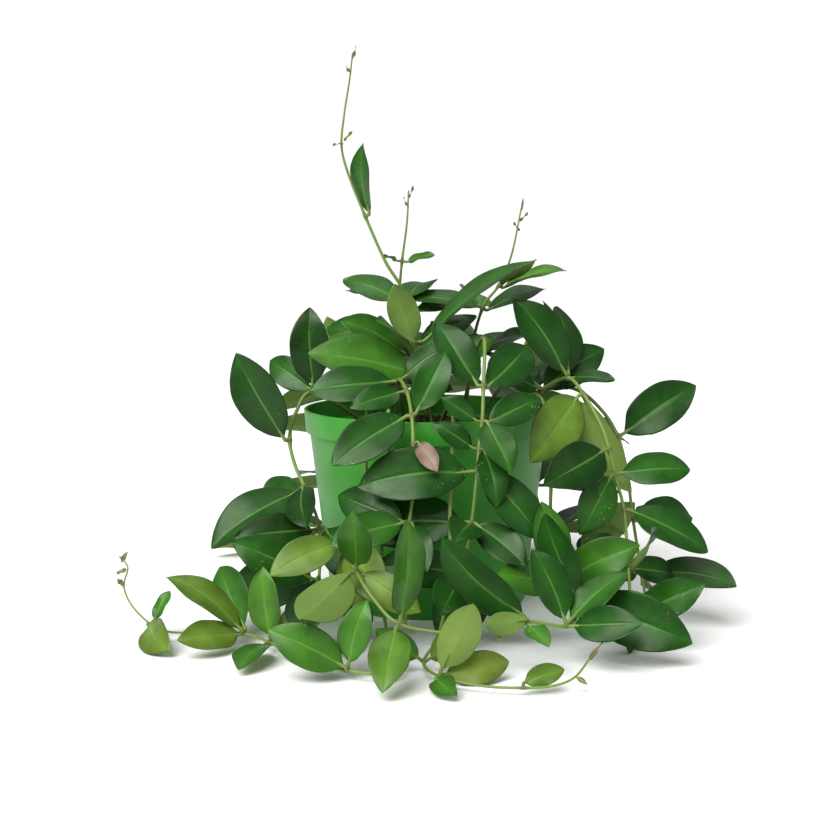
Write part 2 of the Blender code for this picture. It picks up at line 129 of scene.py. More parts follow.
cameraView = dict(place=(0, -0.8, 0.21), pitch=-7.13, yaw=0.35, lens=56.1)
camera = bpy.data.objects.new("camera", bpy.data.cameras.new("camera"))
camera.location = cameraView["place"]
camera.rotation_euler = (math.radians(90 + cameraView["pitch"]), 0, math.radians(cameraView["yaw"]))
camera.data.lens = cameraView["lens"]
camera.data.sensor_width = 36
camera.data.clip_start = 0.01
scene.collection.objects.link(camera)
scene.camera = camera

daylight = dict(aim=(0.5, 0.7, -1.15), spread=50, strength=3.15, sky=0.24, backdrop=1.03)
softboxes = [
    dict(name="key", place=(-1.0, -1.1, 1.5), aim=(0, 0, 0.1), size=0.9, power=8),
    dict(name="fill", place=(1.5, -0.9, 0.9), aim=(0, 0, 0.1), size=1.3, power=2.5),
    dict(name="top", place=(0.1, 0.5, 1.7), aim=(0, 0, 0.1), size=1.1, power=4),
]


def addLamp(name, kind, power, place, way):
    lamp = bpy.data.lights.new(name, kind)
    lamp.energy = power
    holder = bpy.data.objects.new(name, lamp)
    holder.location = place
    holder.rotation_euler = way.to_track_quat("-Z", "Y").to_euler()
    scene.collection.objects.link(holder)
    return lamp


for box in softboxes:
    way = Vector(box["aim"]) - Vector(box["place"])
    lamp = addLamp(box["name"], "AREA", box["power"], box["place"], way)
    lamp.shape = "DISK"
    lamp.size = box["size"]
sun = addLamp("window", "SUN", daylight["strength"], (0, 0, 0), Vector(daylight["aim"]))
sun.angle = math.radians(daylight["spread"])

world = bpy.data.worlds.new("studio")  # the backdrop shows white but lights the plant much less
world.use_nodes = True
tree = world.node_tree
seen = addNode(tree, "ShaderNodeLightPath").outputs["Is Camera Ray"]
strength = addNode(tree, "ShaderNodeMapRange", None, {
    "Value": seen, "To Min": daylight["sky"], "To Max": daylight["backdrop"]})
tree.nodes["Background"].inputs["Color"].default_value = (1, 1, 1, 1)
tree.links.new(strength.outputs[0], tree.nodes["Background"].inputs["Strength"])
scene.world = world
scene.view_settings.view_transform = "Standard"

floorLook = dict(colour="#ffffff", roughness=0.95, reach=6)
floorMaterial, tree = newMaterial("paperSweep")  # matt white paper, no gloss
shader = addNode(tree, "ShaderNodeBsdfPrincipled", None, {
    "Base Color": linearColour(floorLook["colour"]), "Roughness": floorLook["roughness"]})
addNode(tree, "ShaderNodeOutputMaterial", None, {"Surface": shader.outputs[0]})
floorMesh = bpy.data.meshes.new("floor")
far = floorLook["reach"]
floorMesh.from_pydata([(-far, -far, 0), (far, -far, 0), (far, far, 0), (-far, far, 0)], [], [(0, 1, 2, 3)])
floorMesh.materials.append(floorMaterial)
floorSheet = bpy.data.objects.new("floor", floorMesh)
scene.collection.objects.link(floorSheet)

# Materials

leafLook = dict(
    darkGreen="#0b2a07", midGreen="#1b4d11", freshGreen="#3f731f", oliveGreen="#6b7b2d", youngPink="#80675c",
    underside="#7c9449", midrib="#7ba14b", vein="#477a32", margin="#0e270a", fleck="#b9c9a2",
    sheen="#d8e8c8",
    veinCount=9, roughness=0.32, roughBeneath=0.62,
)


def leafMaterial():
    # hoya leaf: thick and waxy, so a smooth satin skin over green flesh, paler and matt beneath
    material, tree = newMaterial("waxyLeaf")
    look = leafLook
    along = addNode(tree, "ShaderNodeAttribute", {"attribute_name": "leafU"}).outputs["Fac"]
    across = addNode(tree, "ShaderNodeAttribute", {"attribute_name": "leafV"}).outputs["Fac"]
    tone = addNode(tree, "ShaderNodeAttribute", {"attribute_name": "leafTone"}).outputs["Fac"]
    upper = addNode(tree, "ShaderNodeAttribute", {"attribute_name": "leafUpper"}).outputs["Fac"]
    place = addNode(tree, "ShaderNodeTexCoord").outputs["Object"]
    reach = addNode(tree, "ShaderNodeMath", {"operation": "ABSOLUTE"}, {0: across}).outputs[0]

    ramp = addNode(tree, "ShaderNodeValToRGB", None, {"Fac": tone})
    stops = [
        (0.0, "darkGreen"), (0.4, "midGreen"), (0.65, "freshGreen"), (0.85, "oliveGreen"), (1.0, "youngPink")]
    while len(ramp.color_ramp.elements) < len(stops):
        ramp.color_ramp.elements.new(0.5)
    for element, (position, colour) in zip(ramp.color_ramp.elements, stops):
        element.position = position
        element.color = linearColour(look[colour])

    # patches a centimetre across, lighter and darker
    patches = addNode(tree, "ShaderNodeTexNoise", None, {"Vector": place, "Scale": 90, "Detail": 3})
    patchLight = addNode(tree, "ShaderNodeMapRange", None, {
        "Value": patches.outputs["Fac"], "From Min": 0.3, "From Max": 0.7, "To Min": 0.78, "To Max": 1.22})
    middleLight = addNode(tree, "ShaderNodeMapRange", softly, {
        "Value": reach, "From Min": 0.0, "From Max": 0.9, "To Min": 1.25, "To Max": 0.82})
    light = addNode(tree, "ShaderNodeMath", times, {0: patchLight.outputs[0], 1: middleLight.outputs[0]})
    body = addNode(tree, "ShaderNodeMix", {"data_type": "RGBA", "blend_type": "MULTIPLY"}, {
        0: 1.0, 6: ramp.outputs["Color"], 7: light.outputs[0]})

    # side veins leave the midrib forwards and fade before the margin
    slant = addNode(tree, "ShaderNodeMath", timesPlus, {0: reach, 1: -0.16, 2: along})
    beat = addNode(tree, "ShaderNodeMath", times, {0: slant.outputs[0], 1: look["veinCount"]})
    saw = addNode(tree, "ShaderNodeMath", {"operation": "PINGPONG"}, {0: beat.outputs[0], 1: 0.5})
    veinLine = addNode(tree, "ShaderNodeMapRange", softly, {
        "Value": saw.outputs[0], "From Min": 0.0, "From Max": 0.09, "To Min": 1.0, "To Max": 0.0})
    veinFade = addNode(tree, "ShaderNodeMapRange", None, {
        "Value": reach, "From Min": 0.1, "From Max": 0.8, "To Min": 0.1, "To Max": 0.0})
    veins = addNode(tree, "ShaderNodeMath", times, {0: veinLine.outputs[0], 1: veinFade.outputs[0]})
    veined = addNode(tree, "ShaderNodeMix", colours, {
        0: veins.outputs[0], 6: body.outputs[2], 7: linearColour(look["vein"])})

    # the midrib is a pale line that thins towards the tip
    ribWidth = addNode(tree, "ShaderNodeMapRange", None, {
        "Value": along, "From Min": 0.0, "From Max": 1.0, "To Min": 0.12, "To Max": 0.03})
    ribShare = addNode(tree, "ShaderNodeMath", {"operation": "DIVIDE"}, {0: reach, 1: ribWidth.outputs[0]})
    ribLine = addNode(tree, "ShaderNodeMapRange", softly, {
        "Value": ribShare.outputs[0], "From Min": 0.0, "From Max": 1.0, "To Min": 0.42, "To Max": 0.0})
    ribFade = addNode(tree, "ShaderNodeMapRange", softly, {
        "Value": along, "From Min": 0.5, "From Max": 0.95, "To Min": 1.0, "To Max": 0.15})
    rib = addNode(tree, "ShaderNodeMath", times, {0: ribLine.outputs[0], 1: ribFade.outputs[0]})
    ribbed = addNode(tree, "ShaderNodeMix", colours, {
        0: rib.outputs[0], 6: veined.outputs[2], 7: linearColour(look["midrib"])})

    # a thin dark margin
    edge = addNode(tree, "ShaderNodeMapRange", softly, {
        "Value": reach, "From Min": 0.93, "From Max": 0.99, "To Min": 0.0, "To Max": 0.55})
    edged = addNode(tree, "ShaderNodeMix", colours, {
        0: edge.outputs[0], 6: ribbed.outputs[2], 7: linearColour(look["margin"])})

    # pale flecks under a millimetre wide, on some leaves only
    specks = addNode(tree, "ShaderNodeTexVoronoi", None, {"Vector": place, "Scale": 420, "Randomness": 1.0})
    speckDot = addNode(tree, "ShaderNodeMapRange", None, {
        "Value": specks.outputs["Distance"], "From Min": 0.12, "From Max": 0.26,
        "To Min": 1.0, "To Max": 0.0})
    speckZone = addNode(tree, "ShaderNodeTexNoise", None, {"Vector": place, "Scale": 34, "Detail": 2})
    speckGate = addNode(tree, "ShaderNodeMapRange", None, {
        "Value": speckZone.outputs["Fac"], "From Min": 0.62, "From Max": 0.72, "To Min": 0.0, "To Max": 0.45})
    speckMix = addNode(tree, "ShaderNodeMath", times, {0: speckDot.outputs[0], 1: speckGate.outputs[0]})
    flecked = addNode(tree, "ShaderNodeMix", colours, {
        0: speckMix.outputs[0], 6: edged.outputs[2], 7: linearColour(look["fleck"])})

    # beneath, the leaf is paler and keeps a hint of its tone
    beneathTone = addNode(tree, "ShaderNodeMix", colours, {
        0: 0.38, 6: linearColour(look["underside"]), 7: ribbed.outputs[2]})
    colour = addNode(tree, "ShaderNodeMix", colours, {
        0: upper, 6: beneathTone.outputs[2], 7: flecked.outputs[2]})

    # wax: nearly even gloss above, dull beneath
    haze = addNode(tree, "ShaderNodeTexNoise", None, {"Vector": place, "Scale": 300, "Detail": 2})
    glossAbove = addNode(tree, "ShaderNodeMapRange", None, {
        "Value": haze.outputs["Fac"], "From Min": 0.3, "From Max": 0.7,
        "To Min": look["roughness"] - 0.05, "To Max": look["roughness"] + 0.08})
    gloss = addNode(tree, "ShaderNodeMix", {"data_type": "FLOAT"}, {
        0: upper, 2: look["roughBeneath"], 3: glossAbove.outputs[0]})

    # relief: sunken veins and a pebbled skin 0.6 mm wide
    pebbles = addNode(tree, "ShaderNodeTexNoise", None, {"Vector": place, "Scale": 1600, "Detail": 2})
    veinDip = addNode(tree, "ShaderNodeMath", timesPlus, {0: veins.outputs[0], 1: -1.2, 2: 0.0})
    height = addNode(tree, "ShaderNodeMath", timesPlus, {
        0: pebbles.outputs["Fac"], 1: 0.35, 2: veinDip.outputs[0]})
    bump = addNode(tree, "ShaderNodeBump", None, {
        "Strength": 0.35, "Distance": 0.3 * mm, "Height": height.outputs[0]})
    shader = addNode(tree, "ShaderNodeBsdfPrincipled", None, {
        "Base Color": colour.outputs[2], "Roughness": gloss.outputs[0], "Normal": bump.outputs[0],
        "Specular IOR Level": 0.36, "Specular Tint": linearColour(look["sheen"]),
        "Coat Weight": 0.05, "Coat Roughness": 0.2})
    addNode(tree, "ShaderNodeOutputMaterial", None, {"Surface": shader.outputs[0]})
    return material


stemLook = dict(young="#71903a", old="#5b5c36", knot="#5a4a2c", roughness=0.5)


def stemMaterial():
    # hoya stem: smooth green bark that dulls to olive brown where it is older
    material, tree = newMaterial("greenBark")
    place = addNode(tree, "ShaderNodeTexCoord").outputs["Object"]
    age = addNode(tree, "ShaderNodeAttribute", {"attribute_name": "stemAge"}).outputs["Fac"]
    mottle = addNode(tree, "ShaderNodeTexNoise", None, {"Vector": place, "Scale": 110, "Detail": 4})
    older = addNode(tree, "ShaderNodeMath", {"operation": "MULTIPLY_ADD", "use_clamp": True}, {
        0: mottle.outputs["Fac"], 1: 1.3, 2: -0.62})
    share = addNode(tree, "ShaderNodeMath", {"operation": "ADD", "use_clamp": True}, {
        0: older.outputs[0], 1: age})
    green = addNode(tree, "ShaderNodeMix", colours, {
        0: share.outputs[0], 6: linearColour(stemLook["young"]), 7: linearColour(stemLook["old"])})
    knot = addNode(tree, "ShaderNodeAttribute", {"attribute_name": "stemKnot"}).outputs["Fac"]
    knotted = addNode(tree, "ShaderNodeMix", colours, {
        0: knot, 6: green.outputs[2], 7: linearColour(stemLook["knot"])})
    grain = addNode(tree, "ShaderNodeTexNoise", None, {"Vector": place, "Scale": 900, "Detail": 3})
    bump = addNode(tree, "ShaderNodeBump", None, {
        "Strength": 0.5, "Distance": 0.25 * mm, "Height": grain.outputs["Fac"]})
    shader = addNode(tree, "ShaderNodeBsdfPrincipled", None, {
        "Base Color": knotted.outputs[2], "Roughness": stemLook["roughness"], "Normal": bump.outputs[0]})
    addNode(tree, "ShaderNodeOutputMaterial", None, {"Surface": shader.outputs[0]})
    return material


potLook = dict(colour="#46a030", shade="#35902a", scuff="#9cc88e", roughness=0.36)


def potMaterial():
    # injection-moulded polypropylene: even colour, soft gloss, faint flow marks and a few scuffs
    material, tree = newMaterial("mouldedPolypropylene")
    place = addNode(tree, "ShaderNodeTexCoord").outputs["Object"]
    flow = addNode(tree, "ShaderNodeMapping", None, {"Vector": place, "Scale": (1, 1, 0.25)})
    marks = addNode(tree, "ShaderNodeTexNoise", None, {"Vector": flow.outputs[0], "Scale": 40, "Detail": 3})
    colour = addNode(tree, "ShaderNodeMix", colours, {
        0: marks.outputs["Fac"], 6: linearColour(potLook["colour"]), 7: linearColour(potLook["shade"])})
    scratch = addNode(tree, "ShaderNodeMapping", None, {
        "Vector": place, "Scale": (1, 1, 9), "Rotation": (0.5, 0.3, 0)})
    lines = addNode(tree, "ShaderNodeTexNoise", None, {
        "Vector": scratch.outputs[0], "Scale": 160, "Detail": 5})
    scuff = addNode(tree, "ShaderNodeMapRange", None, {
        "Value": lines.outputs["Fac"], "From Min": 0.66, "From Max": 0.8, "To Min": 0.0, "To Max": 0.35})
    scuffed = addNode(tree, "ShaderNodeMix", colours, {
        0: scuff.outputs[0], 6: colour.outputs[2], 7: linearColour(potLook["scuff"])})
    rough = addNode(tree, "ShaderNodeMapRange", None, {
        "Value": marks.outputs["Fac"], "To Min": potLook["roughness"], "To Max": potLook["roughness"] + 0.14})
    skin = addNode(tree, "ShaderNodeTexNoise", None, {"Vector": place, "Scale": 1200, "Detail": 2})
    bump = addNode(tree, "ShaderNodeBump", None, {
        "Strength": 0.15, "Distance": 0.1 * mm, "Height": skin.outputs["Fac"]})
    shader = addNode(tree, "ShaderNodeBsdfPrincipled", None, {
        "Base Color": scuffed.outputs[2], "Roughness": rough.outputs[0], "Normal": bump.outputs[0],
        "Specular IOR Level": 0.35})
    addNode(tree, "ShaderNodeOutputMaterial", None, {"Surface": shader.outputs[0]})
    return material


mixLook = dict(peat="#1d130c", damp="#0e0906", bark="#5a3420", paleBark="#8a5a38")


def peatMaterial():
    # damp peat: fibrous, nearly black, no gloss
    material, tree = newMaterial("dampPeat")
    place = addNode(tree, "ShaderNodeTexCoord").outputs["Object"]
    crumbs = addNode(tree, "ShaderNodeTexNoise", None, {"Vector": place, "Scale": 260, "Detail": 6})
    colour = addNode(tree, "ShaderNodeMix", colours, {
        0: crumbs.outputs["Fac"], 6: linearColour(mixLook["damp"]), 7: linearColour(mixLook["peat"])})
    bump = addNode(tree, "ShaderNodeBump", None, {
        "Strength": 0.9, "Distance": 0.8 * mm, "Height": crumbs.outputs["Fac"]})
    shader = addNode(tree, "ShaderNodeBsdfPrincipled", None, {
        "Base Color": colour.outputs[2], "Roughness": 0.92, "Normal": bump.outputs[0]})
    addNode(tree, "ShaderNodeOutputMaterial", None, {"Surface": shader.outputs[0]})
    return material


def chipMaterial():
    # pine bark chips: red brown, dull, with darker layers
    material, tree = newMaterial("pineBark")
    place = addNode(tree, "ShaderNodeTexCoord").outputs["Object"]
    tone = addNode(tree, "ShaderNodeAttribute", {"attribute_name": "chipTone"}).outputs["Fac"]
    base = addNode(tree, "ShaderNodeMix", colours, {
        0: tone, 6: linearColour(mixLook["peat"]), 7: linearColour(mixLook["bark"])})
    layers = addNode(tree, "ShaderNodeTexNoise", None, {"Vector": place, "Scale": 700, "Detail": 4})
    pale = addNode(tree, "ShaderNodeMapRange", None, {
        "Value": layers.outputs["Fac"], "From Min": 0.5, "From Max": 0.75, "To Min": 0.0, "To Max": 0.5})
    colour = addNode(tree, "ShaderNodeMix", colours, {
        0: pale.outputs[0], 6: base.outputs[2], 7: linearColour(mixLook["paleBark"])})
    bump = addNode(tree, "ShaderNodeBump", None, {
        "Strength": 0.7, "Distance": 0.3 * mm, "Height": layers.outputs["Fac"]})
    shader = addNode(tree, "ShaderNodeBsdfPrincipled", None, {
        "Base Color": colour.outputs[2], "Roughness": 0.8, "Normal": bump.outputs[0]})
    addNode(tree, "ShaderNodeOutputMaterial", None, {"Surface": shader.outputs[0]})
    return material


waxyLeaf = leafMaterial()
greenBark = stemMaterial()
polypropylene = potMaterial()
dampPeat = peatMaterial()
pineBark = chipMaterial()
print("materials ready")

# Geometry Nodes: a leaf blade along its midrib

bladeOutline = [(0.0, 0.10), (0.04, 0.28), (0.13, 0.62), (0.26, 0.89), (0.42, 1.0), (0.58, 0.98),
                (0.73, 0.81), (0.85, 0.55), (0.94, 0.28), (1.0, 0.03)]  # half width at shares of the length
bladeSection = dict(points=36, thickness=0.045, fold=0.15, groove=0.02)


def bladeTree():
    tree = newGeometryTree("leafBlade", [
        ("Steps", "NodeSocketInt", 20),
        ("Wave", "NodeSocketFloat", 0.001),
        ("Material", "NodeSocketMaterial", None),
    ])
    given = addNode(tree, "NodeGroupInput").outputs
    section = bladeSection

    # the rail: one smooth curve for each midrib, as wide as the outline says
    rails = addNode(tree, "GeometryNodeMeshToCurve", None, {"Mesh": given["Geometry"]})
    smooth = addNode(tree, "GeometryNodeCurveSplineType", {"spline_type": "CATMULL_ROM"}, {
        "Curve": rails.outputs[0]})
    even = addNode(tree, "GeometryNodeResampleCurve", None, {
        "Curve": smooth.outputs[0], "Count": given["Steps"]})
    facing = addNode(tree, "GeometryNodeInputNamedAttribute", {"data_type": "FLOAT_VECTOR"}, {
        "Name": "facing"})
    turned = addNode(tree, "GeometryNodeSetCurveNormal", {"mode": "FREE"}, {
        "Curve": even.outputs[0], "Normal": facing.outputs["Attribute"]})
    factor = addNode(tree, "GeometryNodeSplineParameter").outputs["Factor"]
    outline = addNode(tree, "ShaderNodeFloatCurve", None, {"Value": factor})
    curve = outline.mapping.curves[0]
    while len(curve.points) < len(bladeOutline):
        curve.points.new(0.5, 0.5)
    for point, (share, width) in zip(curve.points, bladeOutline):
        point.location = (share, width)
    outline.mapping.update()
    halfWidth = addNode(tree, "GeometryNodeInputNamedAttribute", {"data_type": "FLOAT"}, {
        "Name": "halfWidth"})
    width = addNode(tree, "ShaderNodeMath", times, {
        0: outline.outputs[0], 1: halfWidth.outputs["Attribute"]})
    marked = addNode(tree, "GeometryNodeStoreNamedAttribute", perPoint, {
        "Geometry": turned.outputs[0], "Name": "leafU", "Value": factor})

    # the section: a thin lens with raised edges and a groove for the midrib
    ring = addNode(tree, "GeometryNodeCurvePrimitiveCircle", None, {
        "Resolution": section["points"], "Radius": 1.0})
    turn = addNode(tree, "ShaderNodeMath", times, {
        0: addNode(tree, "GeometryNodeInputIndex").outputs[0], 1: 2 * math.pi / section["points"]})
    cosine = addNode(tree, "ShaderNodeMath", {"operation": "COSINE"}, {0: turn.outputs[0]})
    sine = addNode(tree, "ShaderNodeMath", {"operation": "SINE"}, {0: turn.outputs[0]})
    sineSize = addNode(tree, "ShaderNodeMath", {"operation": "ABSOLUTE"}, {0: sine.outputs[0]})
    sineSign = addNode(tree, "ShaderNodeMath", {"operation": "SIGN"}, {0: sine.outputs[0]})
    spread = addNode(tree, "ShaderNodeMath", {"operation": "POWER"}, {0: sineSize.outputs[0], 1: 1.5})
    sideways = addNode(tree, "ShaderNodeMath", times, {0: spread.outputs[0], 1: sineSign.outputs[0]})
    cosineSize = addNode(tree, "ShaderNodeMath", {"operation": "ABSOLUTE"}, {0: cosine.outputs[0]})
    cosineSign = addNode(tree, "ShaderNodeMath", {"operation": "SIGN"}, {0: cosine.outputs[0]})
    full = addNode(tree, "ShaderNodeMath", {"operation": "POWER"}, {0: cosineSize.outputs[0], 1: 0.6})
    lens = addNode(tree, "ShaderNodeMath", times, {0: full.outputs[0], 1: cosineSign.outputs[0]})
    thick = addNode(tree, "ShaderNodeMath", times, {0: lens.outputs[0], 1: section["thickness"]})
    lift = addNode(tree, "ShaderNodeMath", {"operation": "POWER"}, {0: spread.outputs[0], 1: 1.25})
    folded = addNode(tree, "ShaderNodeMath", timesPlus, {
        0: lift.outputs[0], 1: section["fold"], 2: thick.outputs[0]})
    groove = addNode(tree, "ShaderNodeMapRange", None, {
        "Value": spread.outputs[0], "From Min": 0.0, "From Max": 0.07,
        "To Min": -section["groove"], "To Max": 0.0})
    raised = addNode(tree, "ShaderNodeMath", {"operation": "ADD"}, {
        0: folded.outputs[0], 1: groove.outputs[0]})
    spot = addNode(tree, "ShaderNodeCombineXYZ", None, {"X": raised.outputs[0], "Y": sideways.outputs[0]})
    shaped = addNode(tree, "GeometryNodeSetPosition", None, {
        "Geometry": ring.outputs[0], "Position": spot.outputs[0]})
    markedSide = addNode(tree, "GeometryNodeStoreNamedAttribute", perPoint, {
        "Geometry": shaped.outputs[0], "Name": "leafV", "Value": sideways.outputs[0]})
    above = addNode(tree, "ShaderNodeMath", {"operation": "GREATER_THAN"}, {0: cosine.outputs[0], 1: -0.01})
    markedUpper = addNode(tree, "GeometryNodeStoreNamedAttribute", perPoint, {
        "Geometry": markedSide.outputs[0], "Name": "leafUpper", "Value": above.outputs[0]})

    blade = addNode(tree, "GeometryNodeCurveToMesh", None, {
        "Curve": marked.outputs[0], "Profile Curve": markedUpper.outputs[0], "Scale": width.outputs[0],
        "Fill Caps": True})

    # the margin waves a little, differently on each leaf
    leafU = addNode(tree, "GeometryNodeInputNamedAttribute", {"data_type": "FLOAT"}, {"Name": "leafU"})
    leafV = addNode(tree, "GeometryNodeInputNamedAttribute", {"data_type": "FLOAT"}, {"Name": "leafV"})
    seed = addNode(tree, "GeometryNodeInputNamedAttribute", {"data_type": "FLOAT"}, {"Name": "leafSeed"})
    side = addNode(tree, "ShaderNodeMath", {"operation": "SIGN"}, {0: leafV.outputs["Attribute"]})
    phase = addNode(tree, "ShaderNodeMath", timesPlus, {
        0: side.outputs[0], 1: 1.7, 2: seed.outputs["Attribute"]})
    run = addNode(tree, "ShaderNodeMath", timesPlus, {
        0: leafU.outputs["Attribute"], 1: 9.0, 2: phase.outputs[0]})
    swing = addNode(tree, "ShaderNodeMath", {"operation": "SINE"}, {0: run.outputs[0]})
    nearEdge = addNode(tree, "ShaderNodeMath", {"operation": "POWER"}, {
        0: leafV.outputs["Attribute"], 1: 2.0})
    waved = addNode(tree, "ShaderNodeMath", times, {0: swing.outputs[0], 1: nearEdge.outputs[0]})
    amount = addNode(tree, "ShaderNodeMath", times, {0: waved.outputs[0], 1: given["Wave"]})
    shift = addNode(tree, "ShaderNodeVectorMath", {"operation": "SCALE"}, {
        0: facing.outputs["Attribute"], "Scale": amount.outputs[0]})
    wavy = addNode(tree, "GeometryNodeSetPosition", None, {
        "Geometry": blade.outputs[0], "Offset": shift.outputs[0]})
    closed = addNode(tree, "GeometryNodeMergeByDistance", None, {
        "Geometry": wavy.outputs[0], "Distance": 0.02 * mm})
    shaded = addNode(tree, "GeometryNodeSetShadeSmooth", None, {"Geometry": closed.outputs[0]})
    real = addNode(tree, "GeometryNodeRealizeInstances", None, {"Geometry": shaded.outputs[0]})
    dressed = addNode(tree, "GeometryNodeSetMaterial", None, {
        "Geometry": real.outputs[0], "Material": given["Material"]})
    addNode(tree, "NodeGroupOutput", None, {"Geometry": dressed.outputs[0]})
    return tree


def tubeTree():
    # stems and stalks: a round tube along each line, as thick as the line says
    tree = newGeometryTree("greenTube", [
        ("Step", "NodeSocketFloat", 0.0012),
        ("Sides", "NodeSocketInt", 12),
        ("Material", "NodeSocketMaterial", None),
    ])
    given = addNode(tree, "NodeGroupInput").outputs
    rails = addNode(tree, "GeometryNodeMeshToCurve", None, {"Mesh": given["Geometry"]})
    smooth = addNode(tree, "GeometryNodeCurveSplineType", {"spline_type": "CATMULL_ROM"}, {
        "Curve": rails.outputs[0]})
    even = addNode(tree, "GeometryNodeResampleCurve", {"mode": "LENGTH"}, {
        "Curve": smooth.outputs[0], "Length": given["Step"]})
    thick = addNode(tree, "GeometryNodeInputNamedAttribute", {"data_type": "FLOAT"}, {"Name": "thick"})
    ring = addNode(tree, "GeometryNodeCurvePrimitiveCircle", None, {
        "Resolution": given["Sides"], "Radius": 1.0})
    tube = addNode(tree, "GeometryNodeCurveToMesh", None, {
        "Curve": even.outputs[0], "Profile Curve": ring.outputs[0], "Scale": thick.outputs["Attribute"],
        "Fill Caps": True})
    shaded = addNode(tree, "GeometryNodeSetShadeSmooth", None, {"Geometry": tube.outputs[0]})
    real = addNode(tree, "GeometryNodeRealizeInstances", None, {"Geometry": shaded.outputs[0]})
    dressed = addNode(tree, "GeometryNodeSetMaterial", None, {
        "Geometry": real.outputs[0], "Material": given["Material"]})
    addNode(tree, "NodeGroupOutput", None, {"Geometry": dressed.outputs[0]})
    return tree


leafBlade = bladeTree()
greenTube = tubeTree()

# The mix: bark chips strewn on a damp peat surface

chips = dict(spacing=3.4 * mm, smallest=1.1 * mm, largest=3.6 * mm, flatness=(1, 0.6, 0.32), clear=4 * mm,
             seed=11)


def chipTree():
    tree = newGeometryTree("barkChips", [
        ("Spacing", "NodeSocketFloat", 0.003),
        ("Smallest", "NodeSocketFloat", 0.001),
        ("Largest", "NodeSocketFloat", 0.003),
        ("Seed", "NodeSocketInt", 0),
        ("Material", "NodeSocketMaterial", None),
    ])
    given = addNode(tree, "NodeGroupInput").outputs
    points = addNode(tree, "GeometryNodeDistributePointsOnFaces", {"distribute_method": "POISSON"}, {
        "Mesh": given["Geometry"], "Distance Min": given["Spacing"],
        "Density Max": 160000.0, "Seed": given["Seed"]})
    lump = addNode(tree, "GeometryNodeMeshIcoSphere", None, {"Radius": 1.0, "Subdivisions": 2})
    rough = addNode(tree, "ShaderNodeTexNoise", None, {"Scale": 1.1, "Detail": 1})
    offCentre = addNode(tree, "ShaderNodeVectorMath", {"operation": "SUBTRACT"}, {
        0: rough.outputs["Color"], 1: (0.5, 0.5, 0.5)})
    shift = addNode(tree, "ShaderNodeVectorMath", times, {0: offCentre.outputs[0], 1: (1.5, 1.5, 1.5)})
    knobbly = addNode(tree, "GeometryNodeSetPosition", None, {
        "Geometry": lump.outputs[0], "Offset": shift.outputs[0]})
    flat = addNode(tree, "GeometryNodeTransform", None, {
        "Geometry": knobbly.outputs[0], "Scale": chips["flatness"]})
    turn = addNode(tree, "FunctionNodeRandomValue", {"data_type": "FLOAT_VECTOR"}, {
        0: (-0.6, -0.6, 0.0), 1: (0.6, 0.6, 6.28), "Seed": given["Seed"]})
    size = addNode(tree, "FunctionNodeRandomValue", {"data_type": "FLOAT"}, {
        2: given["Smallest"], 3: given["Largest"], "Seed": 3})
    strewn = addNode(tree, "GeometryNodeInstanceOnPoints", None, {
        "Points": points.outputs[0], "Instance": flat.outputs[0],
        "Rotation": turn.outputs[0], "Scale": size.outputs[1]})
    tone = addNode(tree, "FunctionNodeRandomValue", {"data_type": "FLOAT"}, {2: 0.0, 3: 1.0, "Seed": 8})
    toned = addNode(tree, "GeometryNodeStoreNamedAttribute", {"data_type": "FLOAT", "domain": "INSTANCE"}, {
        "Geometry": strewn.outputs[0], "Name": "chipTone", "Value": tone.outputs[1]})
    real = addNode(tree, "GeometryNodeRealizeInstances", None, {"Geometry": toned.outputs[0]})
    dressed = addNode(tree, "GeometryNodeSetMaterial", None, {
        "Geometry": real.outputs[0], "Material": given["Material"]})
    addNode(tree, "NodeGroupOutput", None, {"Geometry": dressed.outputs[0]})
    return tree


pot = dict(
    height=118 * mm, foot=60 * mm, neck=72.5 * mm, rim=76 * mm, band=14 * mm, wall=1.8 * mm, base=2.4 * mm,
    step=1.2 * mm, ledge=1.6 * mm, core=20 * mm, sides=144, holes=8, holeRadius=4.5 * mm, holeCircle=44 * mm,
)
mix = dict(level=104 * mm, lump=1.3 * mm, crumb=0.6, clear=0.3 * mm, footClear=0.8 * mm, rings=36, sides=120)


def around(radius, share, height):
    # the point at a radius and a share of a full turn about Z
    return radius * math.cos(2 * math.pi * share), radius * math.sin(2 * math.pi * share), height


def closedMesh(name, shape, rings):
    # joins rings of corners side by side and closes both ends with a face
    for low, high in zip(rings, rings[1:]):
        for i in range(len(low)):
            after = (i + 1) % len(low)
            shape.faces.new((low[i], low[after], high[after], high[i]))
    shape.faces.new(rings[0])
    shape.faces.new(rings[-1])
    bmesh.ops.recalc_face_normals(shape, faces=shape.faces)
    mesh = bpy.data.meshes.new(name)
    shape.to_mesh(mesh)
    shape.free()
    return mesh


def latheMesh(name, profile, sides):
    # turns a profile of (radius, height) about Z
    shape = bmesh.new()
    rings = []
    for radius, height in profile:
        rings.append([shape.verts.new(around(radius, i / sides, height)) for i in range(sides)])
    return closedMesh(name, shape, rings)


def rounded(corner, before, after, radius, steps=4):
    # points of a small round at a corner of a profile
    corner, before, after = Vector(corner), Vector(before), Vector(after)
    start = corner + (before - corner).normalized() * radius
    end = corner + (after - corner).normalized() * radius
    shares = [i / steps for i in range(steps + 1)]
    return [tuple(start.lerp(corner, t).lerp(corner.lerp(end, t), t)) for t in shares]


def innerRadius(height):
    slope = (pot["neck"] - pot["foot"]) / (pot["height"] - pot["band"])
    return pot["foot"] - pot["wall"] + slope * height


